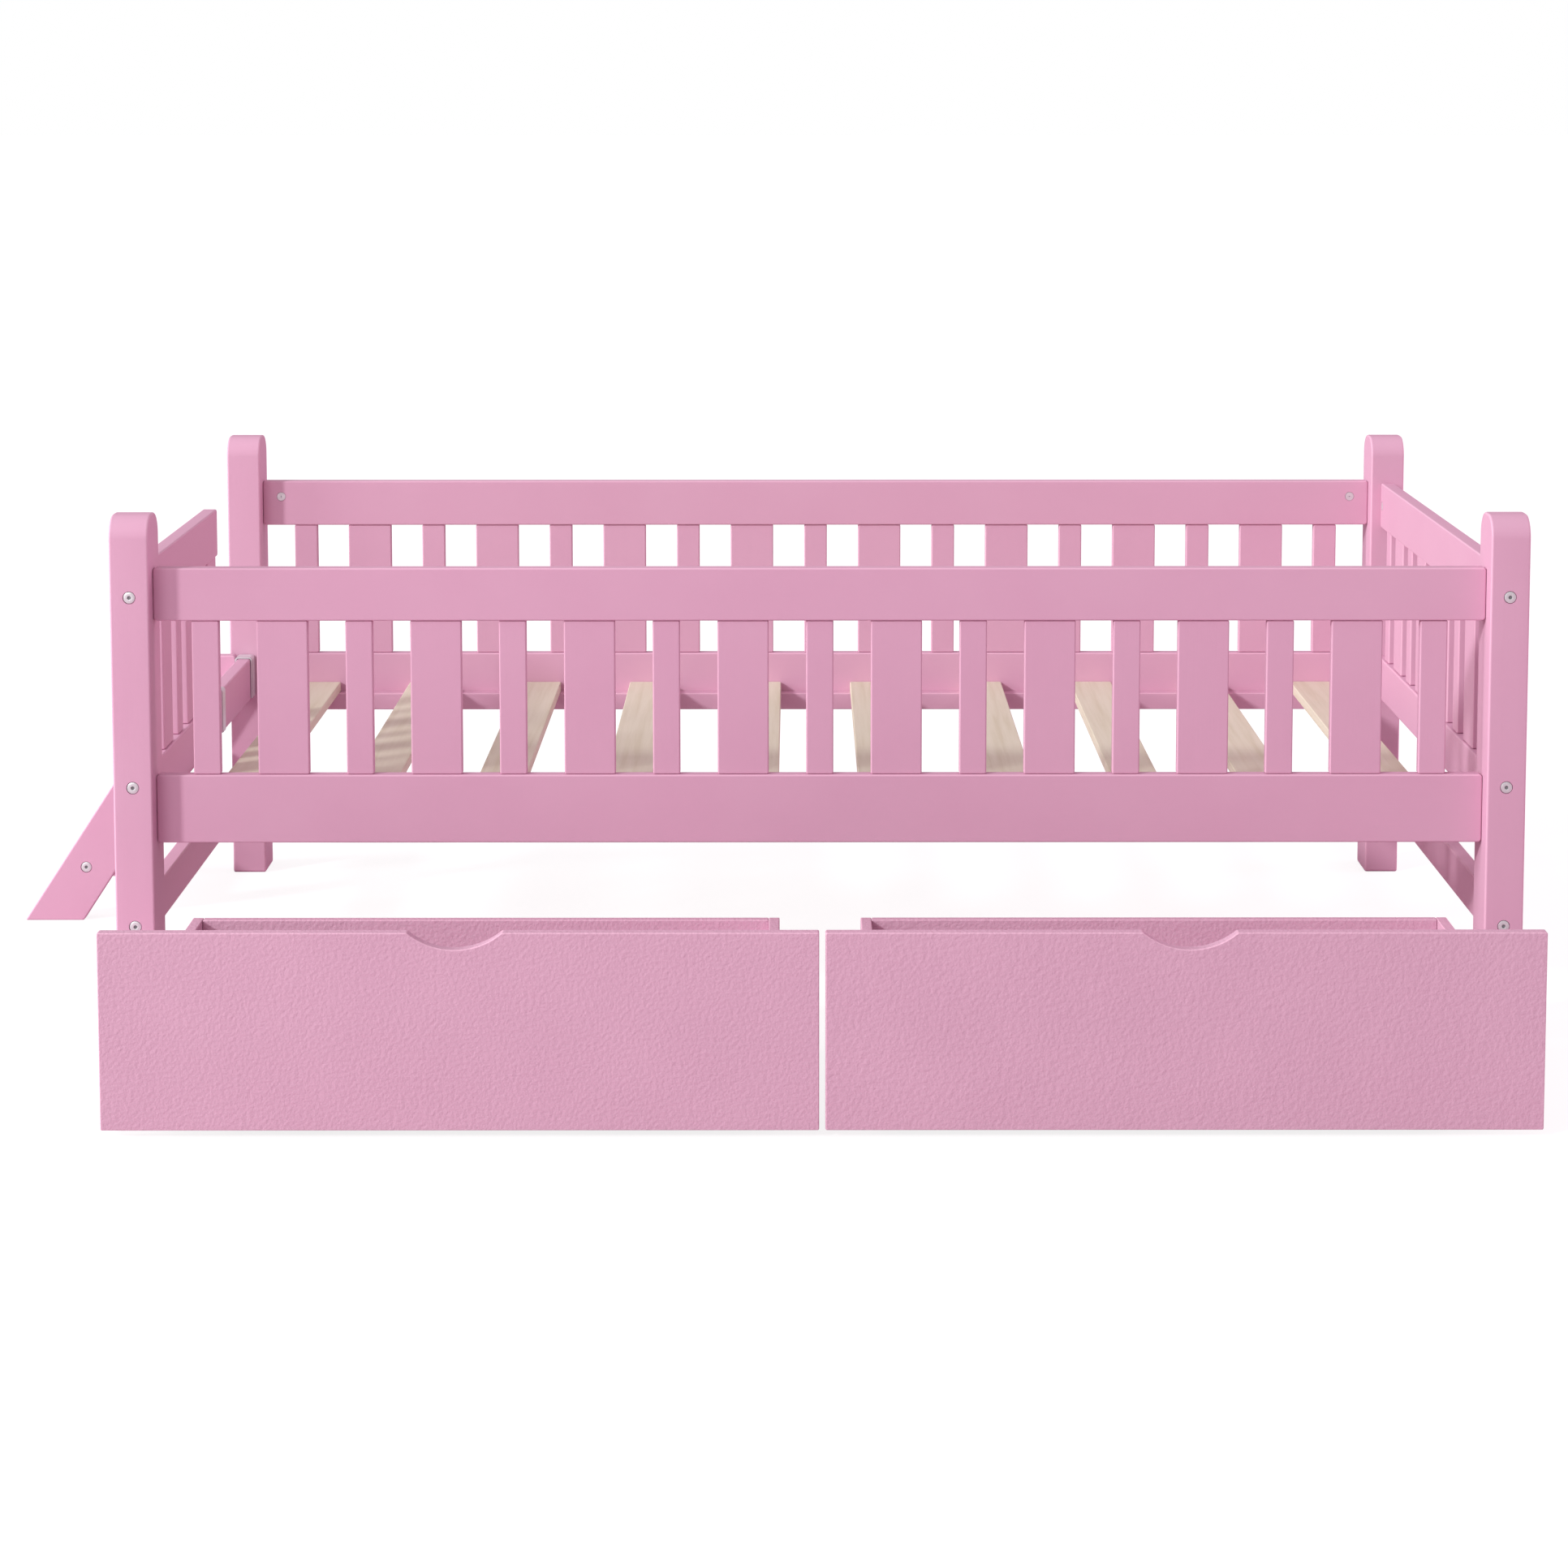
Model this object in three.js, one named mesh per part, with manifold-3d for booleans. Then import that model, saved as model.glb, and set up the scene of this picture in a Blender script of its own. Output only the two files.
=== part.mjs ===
// Low single bed with slatted guards, a hook-on ladder at its open left end and two drawers that roll
// out from under its front. Millimetres, +Z up, +X along the bed, +Y from the drawers to the back.
// The origin is on the floor, in the middle of everything's footprint.
import * as THREE from "three";
import { mergeVertices } from "three/addons/utils/BufferGeometryUtils.js";
import Module from "manifold-3d";

const wasm = await Module();
wasm.setup();

// Gap kept at every butt joint.
const seam = 0.3;

// Overall frame
const bedLength = 1985; // over the outer faces of the posts
const bedWidth = 1106.5; // over the front and back faces of the posts
const postHeight = 745;
const postWidth = 55; // along the bed
const postDepth = 83; // across the bed
const postCrownRadius = 32; // rounds the front and back edges of a post's top
const crownSteps = 10;

// Rails
const railThickness = 22; // every rail and stretcher
const guardTop = 668.5; // top of the guard rails above the floor
const guardRailHeight = 75;
const sideRailTop = 373.5; // top of the rails that the guards stand on
const sideRailHeight = 97.5;
const endRailHeight = 69.5;
const stretcherTop = 195;
const stretcherHeight = 60;

// Guard slats
const guardSlatThickness = 15;
const narrowSlatWidth = 38.4;
const wideSlatWidth = 72.1;
const widestGuardGap = 60; // no gap between guard slats is wider
const entryWidth = 338.5; // opening left for the ladder, next to the back post

// Mattress base
const ledgerThickness = 22;
const ledgerDrop = 65.5; // ledger top below the top of the side rail
const ledgerHeight = 28;
const ledgerSetback = 50; // from the posts, so that the rail bolts stay in reach
const baseSlatCount = 10;
const baseSlatWidth = 70;
const baseSlatThickness = 16;
const baseSlatPlay = 0.75; // between a slat's end and the side rail

// Ladder
const ladderLean = 33.2; // degrees from upright
const stileWidth = 78.4;
const stileThickness = 22;
const stileContact = 71.7; // height of the upright cut that leans on the end rail
const stileRise = 5.5; // stile top above the end rail
const treadThickness = 36;
const treadDepth = 80;
const treadSetback = 2; // tread front behind the stile's front edge
const lowerTreadTop = 105;
const hookWidth = 28;
const hookThickness = 3;
const hookPlay = 0.5; // between the hook and the end rail
const hookLegHeight = 67;
const hookSidePlay = 2.75; // from a hook to the guard rail or the back post

// Drawers
const drawerPostGap = 10; // closed drawer front to the post
const drawerMiddleGap = 8; // between the two drawer fronts
const drawerRailGap = 7; // drawer front to the side rail above it
const drawerFloorGap = 10;
const drawerFrontThickness = 18;
const drawerOpenTravel = 487.8; // from closed, flush with the side rail, to rolled out
const drawerDepth = 412; // over the front and back panels
const boxInset = 52.5; // from the end of the drawer front to the side panel
const boxDrop = 82; // side panels below the top of the front
const boxWall = 15;
const boxBottomThickness = 12;
const notchWidth = 121.6;
const notchDepth = 22.2;
const notchOffset = 5; // from the middle of the front, away from the other drawer
const notchSteps = 24;

// Castors under the drawers
const wheelRadius = 18;
const wheelWidth = 16;
const wheelEdgeRadius = 3;
const axleRadius = 3;
const axleClearance = 0.4;
const cheekThickness = 2;
const cheekClearance = 1; // beside the wheel
const plateThickness = 2.5;
const plateClearance = 2; // above the wheel
const cheekHalfWidth = 10;
const cheekBelowAxle = 6;
const castorInset = 42; // wheel centre from the box's outer faces
const roundSteps = 24;

// Where things lie before the whole is centred: X from the bed's middle, Y from its front, Z from the floor.
const postOuterX = bedLength / 2;
const postInnerX = postOuterX - postWidth;
const frontPostY = [0, postDepth];
const backPostY = [bedWidth - postDepth, bedWidth];
const clearLength = 2 * postInnerX;
const centred = (middle, size) => [middle - size / 2, middle + size / 2];
const frontRailY = centred(postDepth / 2, railThickness);
const backRailY = centred(bedWidth - postDepth / 2, railThickness);
const endRailX = centred(postOuterX - postWidth / 2, railThickness);
const sideRailZ = [sideRailTop - sideRailHeight, sideRailTop];
const guardRailZ = [guardTop - guardRailHeight, guardTop];

const paint = { color: 0xdca5be, roughness: 0.45, metalness: 0 };
const drawerPaint = { color: 0xd9a0bd, roughness: 0.55, metalness: 0 };
const pale = { color: 0xdcc6a8, roughness: 0.65, metalness: 0 };
const steel = { color: 0xd0d2d2, roughness: 0.3, metalness: 1 };
const tyre = { color: 0x3a3a3c, roughness: 0.6, metalness: 0 };

const bed = new THREE.Group();

function place(name, geometry, look) {
  const mesh = new THREE.Mesh(geometry, new THREE.MeshStandardMaterial(look));
  mesh.name = name;
  bed.add(mesh);
  return mesh;
}

// A rectangular board between two limits on each axis.
function boardGeometry([x0, x1], [y0, y1], [z0, z1]) {
  const box = new THREE.BoxGeometry(x1 - x0, y1 - y0, z1 - z0);
  return box.translate((x0 + x1) / 2, (y0 + y1) / 2, (z0 + z1) / 2);
}

// The same limits, drawn in by one seam at both ends.
const seated = ([low, high]) => [low + seam, high - seam];

// The limits of a piece on the other side of the bed's middle.
const mirrored = ([low, high]) => [-high, -low];

// An outline in the XZ plane, as thick as yLimits.
function cutFromXZ(outline, [y0, y1]) {
  const solid = new THREE.ExtrudeGeometry(outline, { depth: y1 - y0, bevelEnabled: false });
  return solid.rotateX(Math.PI / 2).translate(0, y1, 0);
}

// An outline in the YZ plane, as long as xLimits.
function cutFromYZ(outline, [x0, x1]) {
  const turned = new THREE.Matrix4().makeBasis(
    new THREE.Vector3(0, 1, 0),
    new THREE.Vector3(0, 0, 1),
    new THREE.Vector3(1, 0, 0),
  );
  const solid = new THREE.ExtrudeGeometry(outline, {
    depth: x1 - x0,
    bevelEnabled: false,
    curveSegments: crownSteps,
  });
  return solid.applyMatrix4(turned).translate(x0, 0, 0);
}

function solidFrom(geometry) {
  const bare = geometry.index ? geometry.toNonIndexed() : geometry.clone();
  bare.deleteAttribute("normal");
  bare.deleteAttribute("uv");
  const merged = mergeVertices(bare, 1e-4);
  const mesh = new wasm.Mesh({
    numProp: 3,
    vertProperties: merged.attributes.position.array,
    triVerts: new Uint32Array(merged.index.array),
  });
  return new wasm.Manifold(mesh);
}

function joined(geometries) {
  const whole = geometries.map(solidFrom).reduce((all, next) => all.add(next));
  const made = whole.getMesh();
  const geometry = new THREE.BufferGeometry();
  geometry.setAttribute("position", new THREE.BufferAttribute(made.vertProperties, 3));
  geometry.setIndex(new THREE.BufferAttribute(made.triVerts, 1));
  return geometry;
}

function addPosts() {
  const ends = { left: [-postOuterX, -postInnerX], right: [postInnerX, postOuterX] };
  const sides = { front: frontPostY, back: backPostY };
  for (const [side, [y0, y1]] of Object.entries(sides)) {
    const outline = new THREE.Shape();
    outline.moveTo(y0, 0);
    outline.lineTo(y1, 0);
    outline.absarc(y1 - postCrownRadius, postHeight - postCrownRadius, postCrownRadius, 0, Math.PI / 2);
    outline.absarc(y0 + postCrownRadius, postHeight - postCrownRadius, postCrownRadius, Math.PI / 2, Math.PI);
    outline.closePath();
    for (const [end, x] of Object.entries(ends)) place(`${side}_${end}_post`, cutFromYZ(outline, x), paint);
  }
}

function addRails() {
  const between = seated([-postInnerX, postInnerX]);
  const across = seated([frontPostY[1], backPostY[0]]);
  const endRailZ = [sideRailTop - endRailHeight, sideRailTop];
  const stretcherZ = [stretcherTop - stretcherHeight, stretcherTop];
  place("front_side_rail", boardGeometry(between, frontRailY, sideRailZ), paint);
  place("back_side_rail", boardGeometry(between, backRailY, sideRailZ), paint);
  place("left_end_rail", boardGeometry(mirrored(endRailX), across, endRailZ), paint);
  place("right_end_rail", boardGeometry(endRailX, across, endRailZ), paint);
  place("left_stretcher", boardGeometry(mirrored(endRailX), across, stretcherZ), paint);
  place("right_stretcher", boardGeometry(endRailX, across, stretcherZ), paint);
}

// Limits along a guard of its slats, which go narrow, wide, narrow, wide and so on from the start.
// A closed guard ends on a narrow slat and a gap; one with a free end finishes flush with a wide slat.
function slatLimits([start, end], freeEnd) {
  const pair = narrowSlatWidth + wideSlatWidth;
  const lastNarrow = freeEnd ? 0 : narrowSlatWidth;
  const extraGaps = freeEnd ? 0 : 2;
  const room = end - start - lastNarrow;
  const gapFor = (count) => (room - count * pair) / (2 * count + extraGaps);
  let pairs = 1;
  while (gapFor(pairs) > widestGuardGap) pairs += 1;
  const gap = gapFor(pairs);
  const slats = [];
  let at = start;
  for (let i = 0; i < 2 * pairs + (freeEnd ? 0 : 1); i += 1) {
    const width = i % 2 ? wideSlatWidth : narrowSlatWidth;
    slats.push([at + gap, at + gap + width]);
    at += gap + width;
  }
  return slats;
}

// A guard: its rail and the slats let into the rail's underside, glued up as one piece.
function addGuards() {
  const slatZ = [sideRailTop + seam, (guardRailZ[0] + guardRailZ[1]) / 2];
  const lengthways = seated([-postInnerX, postInnerX]);
  const across = seated([frontPostY[1], backPostY[0]]);
  const openAcross = [across[0], backPostY[0] - entryWidth];
  const slatSpan = ([y0, y1]) => centred((y0 + y1) / 2, guardSlatThickness);

  const sideGuard = (name, y) => {
    const slats = slatLimits([-postInnerX, postInnerX], false);
    const boards = slats.map((x) => boardGeometry(x, slatSpan(y), slatZ));
    place(name, joined([boardGeometry(lengthways, y, guardRailZ), ...boards]), paint);
  };
  const endGuard = (name, x, y, freeEnd) => {
    const slats = slatLimits([frontPostY[1], freeEnd ? y[1] : backPostY[0]], freeEnd);
    const boards = slats.map((span) => boardGeometry(slatSpan(x), span, slatZ));
    place(name, joined([boardGeometry(x, y, guardRailZ), ...boards]), paint);
  };
  sideGuard("front_guard", frontRailY);
  sideGuard("back_guard", backRailY);
  endGuard("right_guard", endRailX, across, false);
  endGuard("left_guard", mirrored(endRailX), openAcross, true);
}

function addMattressBase() {
  const ledgerX = [-postInnerX + ledgerSetback, postInnerX - ledgerSetback];
  const ledgerTop = sideRailTop - ledgerDrop;
  const ledgerZ = [ledgerTop - ledgerHeight, ledgerTop];
  const frontLedgerY = [frontRailY[1] + seam, frontRailY[1] + seam + ledgerThickness];
  const backLedgerY = [backRailY[0] - seam - ledgerThickness, backRailY[0] - seam];
  place("front_ledger", boardGeometry(ledgerX, frontLedgerY, ledgerZ), paint);
  place("back_ledger", boardGeometry(ledgerX, backLedgerY, ledgerZ), paint);

  const slatY = [frontRailY[1] + baseSlatPlay, backRailY[0] - baseSlatPlay];
  const slatZ = [ledgerTop + seam, ledgerTop + seam + baseSlatThickness];
  const pitch = clearLength / baseSlatCount;
  for (let i = 0; i < baseSlatCount; i += 1) {
    const x = centred(-postInnerX + pitch * (i + 0.5), baseSlatWidth);
    place(`base_slat_${String(i + 1).padStart(2, "0")}`, boardGeometry(x, slatY, slatZ), pale);
  }
}

function addLadder() {
  const railFaceX = -endRailX[1];
  const hookOuterX = railFaceX - hookPlay - hookThickness;
  const heelX = hookOuterX - seam;
  const lean = Math.tan(THREE.MathUtils.degToRad(ladderLean));
  const levelWidth = stileWidth / Math.cos(THREE.MathUtils.degToRad(ladderLean));
  const stileTop = sideRailTop + stileRise;
  const heelZ = stileTop - stileContact;
  const rearX = (z) => heelX - lean * (heelZ - z);
  const frontX = (z) => rearX(z) - levelWidth;

  const side = new THREE.Shape();
  side.moveTo(frontX(0), 0);
  side.lineTo(rearX(0), 0);
  side.lineTo(heelX, heelZ);
  side.lineTo(heelX, stileTop);
  side.lineTo(frontX(stileTop), stileTop);
  side.closePath();

  const opening = [backPostY[0] - entryWidth, backPostY[0]];
  const hookY = {
    front: [opening[0] + hookSidePlay, opening[0] + hookSidePlay + hookWidth],
    back: [opening[1] - hookSidePlay - hookWidth, opening[1] - hookSidePlay],
  };
  const stileY = {};
  for (const [at, [y0, y1]] of Object.entries(hookY)) {
    stileY[at] = centred((y0 + y1) / 2, stileThickness);
    place(`ladder_${at}_stile`, cutFromXZ(side, stileY[at]), paint);
  }

  const treadY = [stileY.front[1] + seam, stileY.back[0] - seam];
  const upperTreadTop = (lowerTreadTop + sideRailTop) / 2;
  for (const [name, top] of [["lower", lowerTreadTop], ["upper", upperTreadTop]]) {
    const front = frontX(top) + treadSetback;
    const z = [top - treadThickness, top];
    place(`ladder_${name}_tread`, boardGeometry([front, front + treadDepth], treadY, z), paint);
  }

  const hookInnerX = -endRailX[0] + hookPlay;
  const underside = sideRailTop + hookPlay;
  const legFoot = underside - hookLegHeight;
  const strap = new THREE.Shape();
  strap.moveTo(hookOuterX, legFoot);
  strap.lineTo(hookOuterX + hookThickness, legFoot);
  strap.lineTo(hookOuterX + hookThickness, underside);
  strap.lineTo(hookInnerX, underside);
  strap.lineTo(hookInnerX, legFoot);
  strap.lineTo(hookInnerX + hookThickness, legFoot);
  strap.lineTo(hookInnerX + hookThickness, underside + hookThickness);
  strap.lineTo(hookOuterX, underside + hookThickness);
  strap.closePath();
  for (const [at, y] of Object.entries(hookY)) place(`ladder_${at}_hook`, cutFromXZ(strap, y), steel);
  return frontX(0);
}

// A drawer's front panel, with a finger notch cut out of its top edge as one arc.
function drawerFront([x0, x1], [z0, z1], notchX, y) {
  const radius = (notchWidth ** 2 / 4 + notchDepth ** 2) / (2 * notchDepth);
  const halfAngle = Math.asin(notchWidth / 2 / radius);
  const outline = new THREE.Shape();
  outline.moveTo(x0, z0);
  outline.lineTo(x1, z0);
  outline.lineTo(x1, z1);
  for (let i = 0; i <= notchSteps; i += 1) {
    const angle = halfAngle * (1 - (2 * i) / notchSteps);
    const rise = Math.cos(angle) - Math.cos(halfAngle);
    outline.lineTo(notchX + radius * Math.sin(angle), z1 - radius * rise);
  }
  outline.lineTo(x0, z1);
  outline.closePath();
  return cutFromXZ(outline, y);
}

// A castor's pressed fork: a plate, two cheeks and the fixed axle between them.
function forkGeometry(x, y, plateTop) {
  const cheekX = wheelWidth / 2 + cheekClearance;
  const plateBottom = plateTop - plateThickness;
  const plate = boardGeometry(
    centred(x, 2 * (cheekX + cheekThickness)),
    centred(y, 2 * (wheelRadius + cheekClearance)),
    [plateBottom, plateTop],
  );
  const cheekZ = [wheelRadius - cheekBelowAxle, plateTop];
  const cheek = (x0) => boardGeometry([x0, x0 + cheekThickness], centred(y, 2 * cheekHalfWidth), cheekZ);
  const axleLength = 2 * cheekX + cheekThickness;
  const axle = new THREE.CylinderGeometry(axleRadius, axleRadius, axleLength, roundSteps);
  axle.rotateZ(Math.PI / 2).translate(x, y, wheelRadius);
  return joined([plate, cheek(x - cheekX - cheekThickness), cheek(x + cheekX), axle]);
}

function wheelGeometry(x, y) {
  const bore = axleRadius + axleClearance;
  const half = wheelWidth / 2;
  const rim = wheelRadius - wheelEdgeRadius;
  const edge = wheelEdgeRadius * (1 - Math.SQRT1_2);
  const profile = [
    [bore, -half],
    [rim, -half],
    [wheelRadius - edge, -half + edge],
    [wheelRadius, -half + wheelEdgeRadius],
    [wheelRadius, half - wheelEdgeRadius],
    [wheelRadius - edge, half - edge],
    [rim, half],
    [bore, half],
    [bore, -half],
  ].map(([r, h]) => new THREE.Vector2(r, h));
  // The lathe turns about Y, so the wheel is laid over onto its axle, which runs along X.
  const wheel = new THREE.LatheGeometry(profile, roundSteps).rotateZ(Math.PI / 2);
  return wheel.translate(x, y, wheelRadius);
}

function addDrawer(side, direction) {
  const away = (near, far) => (direction > 0 ? [near, far] : [-far, -near]);
  const frontX = away(drawerMiddleGap / 2, postInnerX - drawerPostGap);
  const frontZ = [drawerFloorGap, sideRailZ[0] - drawerRailGap];
  const faceY = frontRailY[0] - drawerOpenTravel;
  const frontY = [faceY, faceY + drawerFrontThickness];
  const middleX = (frontX[0] + frontX[1]) / 2;
  place(
    `${side}_drawer_front`,
    drawerFront(frontX, frontZ, middleX + direction * notchOffset, frontY),
    drawerPaint,
  );

  const wheelTop = 2 * wheelRadius;
  const boxZ = [wheelTop + plateClearance + plateThickness + seam, frontZ[1] - boxDrop];
  const boxX = [frontX[0] + boxInset, frontX[1] - boxInset];
  const boxY = [frontY[1] + seam, faceY + drawerDepth];
  const innerX = [boxX[0] + boxWall, boxX[1] - boxWall];
  const backY = [boxY[1] - boxWall, boxY[1]];
  const bottomZ = [boxZ[0], boxZ[0] + boxBottomThickness];
  place(`${side}_drawer_left_side`, boardGeometry([boxX[0], innerX[0]], boxY, boxZ), drawerPaint);
  place(`${side}_drawer_right_side`, boardGeometry([innerX[1], boxX[1]], boxY, boxZ), drawerPaint);
  place(`${side}_drawer_back`, boardGeometry(seated(innerX), backY, boxZ), drawerPaint);
  place(
    `${side}_drawer_bottom`,
    boardGeometry(seated(innerX), [boxY[0], backY[0] - seam], bottomZ),
    drawerPaint,
  );

  const castorX = { left: boxX[0] + castorInset, right: boxX[1] - castorInset };
  const castorY = { front: boxY[0] + castorInset, back: boxY[1] - castorInset };
  for (const [across, y] of Object.entries(castorY)) {
    for (const [along, x] of Object.entries(castorX)) {
      const name = `${side}_drawer_${across}_${along}`;
      place(`${name}_fork`, forkGeometry(x, y, boxZ[0] - seam), steel);
      place(`${name}_wheel`, wheelGeometry(x, y), tyre);
    }
  }
  return faceY;
}

addPosts();
addRails();
addGuards();
addMattressBase();
const leftmost = addLadder();
addDrawer("left", -1);
const foremost = addDrawer("right", 1);

bed.position.set(-(leftmost + postOuterX) / 2, -(foremost + bedWidth) / 2, 0);

export default bed;
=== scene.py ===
import math
import random

import bmesh
import bpy
from mathutils import Matrix, Vector


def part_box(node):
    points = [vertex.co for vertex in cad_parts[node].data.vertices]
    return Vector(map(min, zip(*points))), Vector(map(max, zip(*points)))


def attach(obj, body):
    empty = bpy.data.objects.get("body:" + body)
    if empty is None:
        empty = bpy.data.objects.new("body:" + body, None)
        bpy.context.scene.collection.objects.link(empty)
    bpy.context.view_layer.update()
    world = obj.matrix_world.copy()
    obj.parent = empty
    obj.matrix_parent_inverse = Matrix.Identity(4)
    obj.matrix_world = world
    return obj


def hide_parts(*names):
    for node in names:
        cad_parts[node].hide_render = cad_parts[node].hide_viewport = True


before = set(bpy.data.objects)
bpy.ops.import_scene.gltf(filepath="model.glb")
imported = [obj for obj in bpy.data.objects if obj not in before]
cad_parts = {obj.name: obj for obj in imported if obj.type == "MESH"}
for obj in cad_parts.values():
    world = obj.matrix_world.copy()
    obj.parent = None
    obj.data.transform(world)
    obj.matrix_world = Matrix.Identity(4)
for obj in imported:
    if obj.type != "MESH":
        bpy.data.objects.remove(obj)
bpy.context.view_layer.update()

mm = 0.001
chance = random.Random(11)
print("frame loaded:", len(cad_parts), "nodes")


# Shader maths. A Wire is one output socket, and sums on it add Math nodes to its tree.
class Wire:
    def __init__(self, finish, socket):
        self.finish = finish
        self.socket = socket

    def maths(self, operation, first, second=0.0, clamp=False):
        values = {0: first, 1: second}
        return self.finish.node("Math", {"operation": operation, "use_clamp": clamp}, values)

    def __add__(self, other):
        return self.maths("ADD", self, other)

    def __radd__(self, other):
        return self.maths("ADD", other, self)

    def __sub__(self, other):
        return self.maths("SUBTRACT", self, other)

    def __rsub__(self, other):
        return self.maths("SUBTRACT", other, self)

    def __mul__(self, other):
        return self.maths("MULTIPLY", self, other)

    def __rmul__(self, other):
        return self.maths("MULTIPLY", other, self)

    def held(self):  # between 0 and 1
        return self.maths("ADD", self, 0.0, clamp=True)


# A node tree, and one way to add any node to it.
class Shading:
    def __init__(self, tree):
        self.tree = tree
        tree.nodes.clear()

    def find(self, sockets, key):
        if isinstance(key, int):
            return sockets[key]
        return next(s for s in sockets if key in (s.identifier, s.name))

    def node(self, kind, settings=None, inputs=None, out=0):
        made = self.tree.nodes.new("ShaderNode" + kind)
        for key, value in (settings or {}).items():
            if key == "stops":
                ramp = made.color_ramp.elements
                ramp[0].position, ramp[0].color = value[0]
                ramp[1].position, ramp[1].color = value[-1]
                for position, colour in value[1:-1]:
                    ramp.new(position).color = colour
            else:
                setattr(made, key, value)
        for key, value in (inputs or {}).items():
            socket = self.find(made.inputs, key)
            if isinstance(value, Wire):
                self.tree.links.new(value.socket, socket)
            else:
                socket.default_value = value
        return Wire(self, self.find(made.outputs, out))

    def noise(self, at, scale, detail=2.0, roughness=0.5):
        values = {"Vector": at, "Scale": scale, "Detail": detail, "Roughness": roughness}
        return self.node("TexNoise", {}, values, "Fac")

    def stretched(self, at, factors):
        return self.node("VectorMath", {"operation": "MULTIPLY"}, {0: at, 1: factors})

    def between(self, share, first, second):
        values = {"Factor_Float": share, "A_Color": first, "B_Color": second}
        return self.node("Mix", {"data_type": "RGBA"}, values, "Result_Color")

    def show(self, kind, wire):
        # ends the tree in its output node
        output = self.tree.nodes.new("ShaderNode" + kind)
        self.tree.links.new(wire.socket, output.inputs[0])
        return output


# A material around one shader.
class Finish(Shading):
    def __init__(self, name, **constants):
        self.material = bpy.data.materials.new(name)
        self.material.use_nodes = True
        super().__init__(self.material.node_tree)
        self.surface = self.tree.nodes.new("ShaderNodeBsdfPrincipled")
        self.output = self.show("OutputMaterial", Wire(self, self.surface.outputs[0]))
        for key, value in constants.items():
            self.surface.inputs[key.replace("_", " ")].default_value = value

    def attribute(self, name, out):
        return self.node("Attribute", {"attribute_name": name}, {}, out)

    def feed(self, name, wire):
        self.tree.links.new(wire.socket, self.surface.inputs[name])

    def relief(self, height):  # height in metres
        values = {"Height": height, "Distance": 1.0, "Strength": 1.0}
        self.feed("Normal", self.node("Bump", {}, values, "Normal"))


def linear(part):
    # the usual curve from a screen value to light
    return part / 12.92 if part <= 0.04045 else ((part + 0.055) / 1.055) ** 2.4


def hexColour(code):
    return tuple(linear(int(code[i:i + 2], 16) / 255) for i in (0, 2, 4)) + (1.0,)


# Satin paint on eased boards. The grain telegraphs faintly, and the eased edges are painted lighter as a
# painted highlight.
paintLayers = {
    "grainStretch": (3.0, 55.0, 55.0), "grainScale": 4.0, "grainDetail": 4, "grainRoughness": 0.6,
    # edgeShare is how much painted highlight the eased edges get.
    "mottleShare": 0.8, "edgeShare": 0.55,  # of the colour
    "base": -0.06, "mottle": 0.08, "film": 0.06, "edge": 0.05,  # of the roughness
}
framePaintValues = {
    "body": "dfb0c7",
    "deep": "d9a5bf",
    # The edge colour is the painted highlight of the eased edges.
    "edge": "ebbbd1",
    "roughness": 0.5,
    "mottleScale": 7,
    "filmScale": 150,
    "filmTint": 0.12,
    "filmDepth": 0.00004,
    "grainDepth": 0.0001,
}


def paintFinish(name, values):
    finish = Finish(name, IOR=1.47, Specular_IOR_Level=0.12)
    s = paintLayers
    at = finish.attribute("grainAt", "Vector")
    edge = finish.attribute("edgeShare", "Fac")
    mottle = finish.noise(at, values["mottleScale"], 3)
    film = finish.noise(at, values["filmScale"], 2)
    along = finish.stretched(at, s["grainStretch"])
    grain = finish.noise(along, s["grainScale"], s["grainDetail"], s["grainRoughness"])
    tint = (mottle * s["mottleShare"] + (film - 0.5) * values["filmTint"]).held()
    colour = finish.between(tint, hexColour(values["deep"]), hexColour(values["body"]))
    # Painted highlight: the eased edges are mixed towards the lighter edge colour.
    colour = finish.between(edge * s["edgeShare"], colour, hexColour(values["edge"]))
    finish.feed("Base Color", colour)
    roughness = values["roughness"] + s["base"] + mottle * s["mottle"] + film * s["film"] - edge * s["edge"]
    finish.feed("Roughness", roughness)
    finish.relief(film * values["filmDepth"] + grain * values["grainDepth"])
    return finish


framePaint = paintFinish("satinPinkPaint", framePaintValues)

# The drawers carry a heavier, pebbled coat.
drawerPaintValues = {
    "body": "dbafc4",
    "deep": "d2a5bb",
    # The edge colour is the painted highlight of the eased edges.
    "edge": "ecbcd1",
    "roughness": 0.54,
    "mottleScale": 9,
    "filmScale": 190,
    "filmTint": 0.2,
    "filmDepth": 0.0012,
    "grainDepth": 0.00006,
}
drawerPaint = paintFinish("pebbledPinkPaint", drawerPaintValues)

# Bare softwood for the base slats: long soft growth bands and fine fibre.
slatWoodValues = {
    "early": "e9e3cf",
    "late": "d5ccb1",
    "fibre": "e1d8c2",
    "roughness": 0.62,
    "driftStretch": (1.2, 9.0, 9.0),
    "bandStretch": (0.35, 8.0, 8.0),
    "bandScale": 10,
    "bandStops": [(0.35, (0, 0, 0, 1)), (0.5, (0.35, 0.35, 0.35, 1)), (0.68, (1, 1, 1, 1))],
    "fibreStretch": (6.0, 420.0, 420.0),
    "fibreScale": 5,
    "fibreDepth": 0.00016,
    "bandDepth": 0.00008,
    "bandShare": 0.75, "driftShare": 0.25, "fibreShare": 0.5,  # of the colour
    "baseRoughness": -0.08, "fibreRoughness": 0.16, "bandRoughness": 0.05,  # added to the roughness
}


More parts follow.
